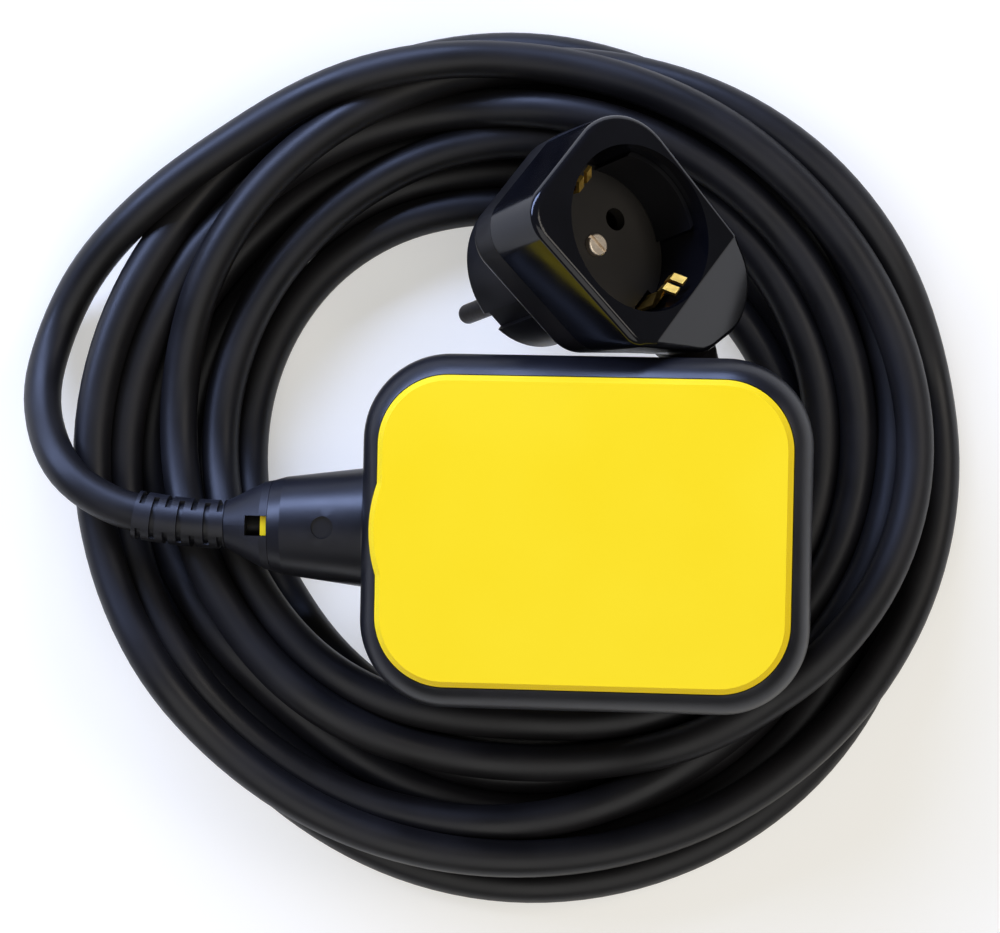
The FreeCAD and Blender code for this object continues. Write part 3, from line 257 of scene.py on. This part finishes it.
MATERIALS = {
    "black_casing": moulded(
        "black_casing", (0.0045, 0.0045, 0.006), (0.007, 0.007, 0.010), rough=0.34,
        grain=1100.0, depth=0.000015, patch=45.0, worn=(0.0095, 0.0095, 0.0125), level=0.42,
    ),
    "yellow_panel": moulded(
        "yellow_panel", (0.99, 0.690, 0.004), (1.0, 0.710, 0.006), rough=0.42,
        grain=700.0, depth=0.000015, patch=25.0, level=0.3,
    ),
    "seal_rubber": moulded("seal_rubber", (0.010, 0.010, 0.011), (0.018, 0.018, 0.020), rough=0.6),
    "cable_rubber": moulded(
        "cable_rubber", (0.0050, 0.0046, 0.0050), (0.0085, 0.0078, 0.0085), rough=0.45,
        grain=1400.0, depth=0.00003, patch=55.0, level=0.34,
    ),
    "relief_rubber": moulded(
        "relief_rubber", (0.004, 0.004, 0.0055), (0.008, 0.008, 0.011), rough=0.42,
        grain=1200.0, depth=0.00003, patch=50.0, worn=(0.011, 0.011, 0.014), level=0.4,
    ),
    "plug_gloss": moulded(
        "plug_gloss", (0.0025, 0.0025, 0.0035), (0.004, 0.004, 0.0055), rough=0.12,
        grain=600.0, depth=0.000002, patch=45.0, level=0.36,
    ),
    "plug_rubber": moulded(
        "plug_rubber", (0.005, 0.0045, 0.0045), (0.010, 0.0085, 0.008), rough=0.36,
        grain=900.0, depth=0.00002, patch=50.0, level=0.4,
    ),
    "socket_floor": make_insert_finish(),
    "brass": metal(
        "brass", (0.95, 0.60, 0.12), (0.74, 0.44, 0.08), rough=0.36,
        # Painted shade: the contacts deep in the bores are painted nearly black.
        painted_shade_colour=(0.035, 0.022, 0.012), painted_shade_height=BRASS_PAINTED_SHADE_HEIGHT,
    ),
    "nickel": metal(
        "nickel", (0.95, 0.84, 0.70), (0.80, 0.69, 0.56), rough=0.46,
        # Painted shade: the outer parts of the pins are painted dark, as pins lying in shade.
        painted_shade_colour=(0.06, 0.055, 0.05), painted_shade_height=PIN_PAINTED_SHADE_HEIGHT,
    ),
    "steel": metal("steel", (0.90, 0.81, 0.72), (0.72, 0.62, 0.54), rough=0.42),
    "white_plastic": moulded(
        "white_plastic", (0.75, 0.74, 0.70), (0.68, 0.66, 0.61), rough=0.4, grain=600.0, depth=0.00002,
    ),
    "switch_black": moulded(
        "switch_black", (0.020, 0.020, 0.022), (0.032, 0.031, 0.033), rough=0.38, grain=800.0,
    ),
    "brown_core": moulded("brown_core", (0.14, 0.045, 0.016), (0.18, 0.06, 0.022), rough=0.4, grain=700.0),
    "blue_core": moulded("blue_core", (0.020, 0.12, 0.42), (0.03, 0.16, 0.50), rough=0.4, grain=700.0),
}

slots = {entry["node"]: entry["material_slot"] for entry in frame["record"]["subparts"]}
for node, thing in frame["nodes"].items():
    finish = MATERIALS[slots[node]]
    for index in range(len(thing.material_slots)):
        thing.material_slots[index].material = finish

# One cable, from the float down into the coil and out again to the plug, in millimetres.
# The radii of the turns are given at every 45 degrees from 225, lowest turn first.
FIRST_ANGLE = 225
ANGLE_STEP = 45
MARKS_PER_TURN = 8
TURNS = (
    (97.6, 101.3, 100.5, 93, 89, 89.6, 93.8, 100),
    (89, 92.5, 91.7, 84.2, 80.2, 80.8, 85, 91.2),
    (80.4, 83.7, 82.9, 75.4, 71.4, 71.4, 76.2, 82.1),
    (71.8, 74.9, 74.1, 66.6, 62.6, 62.6, 67.5, 66.7),
    (64.3, 66.6, 66, 71, 75.4, 78.5, 76, 73.2),
    (67.4, 60.5, 71, 79.4, 83, 85, 92, 96.5),
    (92.4, 85.2, 80, 88, 94, 100.6, 101.4, 103.4),
    (97.4, 93.6, 96.2, 100.2, 100.2, 96, 91, 82.6),
    (75.5, 70.5, 79.3, 92.1, 92.4, 95.7, 104),
)
PLUG_RUN = [
    (49.1, 47.1, -17.5),
    (52.2, 39.4, -24.8),
    (56.2, 28.8, -31.5),
    (56.3, 13.7, -34.6),
    (50.4, -0.2, -35.4),
    (39.7, -10.8, -35.4),
    (25.7, -16.5, -35.4),
    (10.6, -16.4, -35.4),
    (-3.3, -10.5, -35.4),
    (-13.9, 0.3, -35.4),
    (-27.1, 5.8, -35.4),
    (-41.4, 5.9, -35.4),
    (-54.7, 0.6, -35.4),
    (-64.9, -9.5, -35.4),
    (-70.0, -31.5, -35.4),
]
FLOAT_RUN = [
    (-66.5, 86.0, -20.8),
    (-80.0, 75.0, -21.2),
    (-93.5, 61.5, -29.0),
    (-102.0, 46.0, -35.0),
    (-105.2, 28.5, -27.5),
    (-98.5, 12.5, -14.5),
    (-86.5, 4.0, -11.0),
    (-72.0, 0.6, -9.7),
    (-57.9, 0.0, -8.3),
]
# The plug's run passes under the coil beyond this place, towards the float's cable.
CROSSING_BEYOND = -20
# Points of the spline between two given radii.
STEPS = 3
# Rubber strands press into each other a little where they lie on one another.
PRESSED_SHARE = 0.98
NO_SUPPORT = -1000.0


def turn_radii():
    """Smooth radii of the spline's points, which it cuts inside of by the cosine of half their step."""
    cut = math.cos(math.radians(ANGLE_STEP / 2 / STEPS))
    given = [radius / cut for turn in TURNS for radius in turn]
    radii = []
    for index in range(len(given) - 1):
        before = given[max(index - 1, 0)]
        here = given[index]
        after = given[index + 1]
        later = given[min(index + 2, len(given) - 1)]
        for step in range(STEPS):
            part = step / STEPS
            radii.append(0.5 * (
                2 * here + (after - before) * part
                + (2 * before - 5 * here + 4 * after - later) * part ** 2
                + (3 * here - before - 3 * after + later) * part ** 3
            ))
    return radii


def rest_on(low, spot, width):
    """Height at which a strand over the spot lies on the strand through the low point."""
    apart = (low[0] - spot[0]) ** 2 + (low[1] - spot[1]) ** 2
    if apart >= width ** 2:
        return NO_SUPPORT
    return low[2] + math.sqrt(width ** 2 - apart)


def supports(strand, following, parts, spot, width):
    """Heights that a strand under the spot gives, tried at parts of each of its stretches."""
    heights = []
    for first, second in zip(strand, following):
        for part in parts:
            low = [a + (b - a) * part for a, b in zip(first, second)]
            heights.append(rest_on(low, spot, width))
    return heights


def lay_coil():
    """Each turn lies on the floor or on the strands under it."""
    width = PRESSED_SHARE * CABLE_WIDTH * MILLIMETRES
    bottom = FLOOR_HEIGHT * MILLIMETRES + CABLE_WIDTH * MILLIMETRES / 2
    half_turn = MARKS_PER_TURN * STEPS // 2
    under = [point for point in PLUG_RUN if point[0] < CROSSING_BEYOND]
    points = []
    for index, radius in enumerate(turn_radii()):
        angle = math.radians(FIRST_ANGLE + ANGLE_STEP * index / STEPS)
        spot = [
            COIL_MIDDLE[0] * MILLIMETRES + radius * math.cos(angle),
            COIL_MIDDLE[1] * MILLIMETRES + radius * math.sin(angle),
            bottom,
        ]
        found = [bottom]
        if index > half_turn:
            found += supports(under, under[1:], (0.0, 0.25, 0.5, 0.75), spot, width)
        laid = points[:max(index - half_turn, 0)]
        found += supports(laid, points[1:], (0.0, 0.34, 0.67), spot, width)
        spot[2] = max(found)
        points.append(spot)
    return points


def make_cable():
    """The whole cable as one spline, from the bend relief to the plug."""
    curve = bpy.data.curves.new("cable", "CURVE")
    curve.dimensions = "3D"
    curve.bevel_depth = CABLE_WIDTH / 2
    curve.bevel_resolution = 6
    curve.resolution_u = 6
    route = FLOAT_RUN[::-1] + lay_coil()[::-1] + PLUG_RUN[::-1]
    spline = curve.splines.new("NURBS")
    spline.points.add(len(route) - 1)
    for point, place in zip(spline.points, route):
        point.co = [value / MILLIMETRES for value in place] + [1.0]
    spline.order_u = 3
    spline.use_endpoint_u = True
    curve.materials.append(MATERIALS["cable_rubber"])
    cable = bpy.data.objects.new("cable", curve)
    bpy.context.scene.collection.objects.link(cable)
    return cable


cable = make_cable()
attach(cable, "switch")
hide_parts("cable_lead_float", "cable_coil", "cable_lead_plug")


def make_floor_finish():
    """Pale floor, lifted to white for the camera and for reflections, which keeps its shadow."""
    material, tree, shader = start_material("pale_floor")
    tone = noise(tree, coords(tree), 3.0, 2.0, 0.4)
    pale = mix_colours(tree, tone.outputs["Fac"], (0.60, 0.57, 0.49), (0.63, 0.60, 0.52))
    tree.links.new(pale, shader.inputs["Base Color"])
    shader.inputs["Roughness"].default_value = 0.9
    shader.inputs["Specular IOR Level"].default_value = 0.1
    path = add_node(tree, "ShaderNodeLightPath")
    direct = combine(tree, "MAXIMUM", path.outputs["Is Camera Ray"], path.outputs["Is Glossy Ray"])
    seen = combine(tree, "MAXIMUM", direct, path.outputs["Is Transmission Ray"])
    lift = spread(tree, seen, 0.0, 1.0, 0.0, 0.46)
    shader.inputs["Emission Color"].default_value = (1.0, 1.0, 1.0, 1.0)
    tree.links.new(lift, shader.inputs["Emission Strength"])
    return material


def make_floor():
    """Plain floor under the switch."""
    shape = bmesh.new()
    bmesh.ops.create_grid(
        shape, x_segments=1, y_segments=1, size=FLOOR_REACH, matrix=Matrix.Translation((0, 0, FLOOR_HEIGHT)),
    )
    mesh = bpy.data.meshes.new("floor")
    shape.to_mesh(mesh)
    shape.free()
    mesh.materials.append(make_floor_finish())
    floor = bpy.data.objects.new("floor", mesh)
    bpy.context.scene.collection.objects.link(floor)


def make_world():
    """Weak plain white light from all round."""
    world = bpy.data.worlds.new("studio")
    bpy.context.scene.world = world
    world.use_nodes = True
    plain = world.node_tree.nodes["Background"]
    plain.inputs["Color"].default_value = (1.0, 1.0, 1.0, 1.0)
    plain.inputs["Strength"].default_value = 0.13


def add_lamp(name, place, size, power, colour):
    """Rectangular lamp that points at the middle of the frame."""
    data = bpy.data.lights.new(name, "AREA")
    data.shape = "RECTANGLE"
    data.size = size[0]
    data.size_y = size[1]
    data.energy = power
    data.color = colour
    lamp = bpy.data.objects.new(name, data)
    lamp.location = place
    lamp.rotation_euler = (-Vector(place)).to_track_quat("-Z", "Y").to_euler()
    bpy.context.scene.collection.objects.link(lamp)


def make_camera():
    """Camera of the photograph: straight above, turned by a little."""
    data = bpy.data.cameras.new("camera")
    data.lens = 118.2
    data.sensor_width = 36.0
    data.clip_end = 20.0
    camera = bpy.data.objects.new("camera", data)
    camera.location = (0.00598, 0.01487, 0.760)
    camera.rotation_euler = (0.0, 0.0, math.radians(1.2))
    bpy.context.scene.collection.objects.link(camera)
    bpy.context.scene.camera = camera


make_floor()
make_world()
add_lamp("overhead", (0.10, -0.70, 1.15), size=(1.5, 1.4), power=8.8, colour=(1.0, 0.985, 0.96))
add_lamp("window", (-0.60, 0.85, 0.58), size=(1.7, 0.32), power=34.0, colour=(0.45, 0.57, 1.0))
add_lamp("side", (0.72, 0.25, 0.75), size=(0.5, 0.5), power=2.5, colour=(1.0, 0.93, 0.84))
make_camera()
bpy.context.scene.view_settings.view_transform = "Standard"
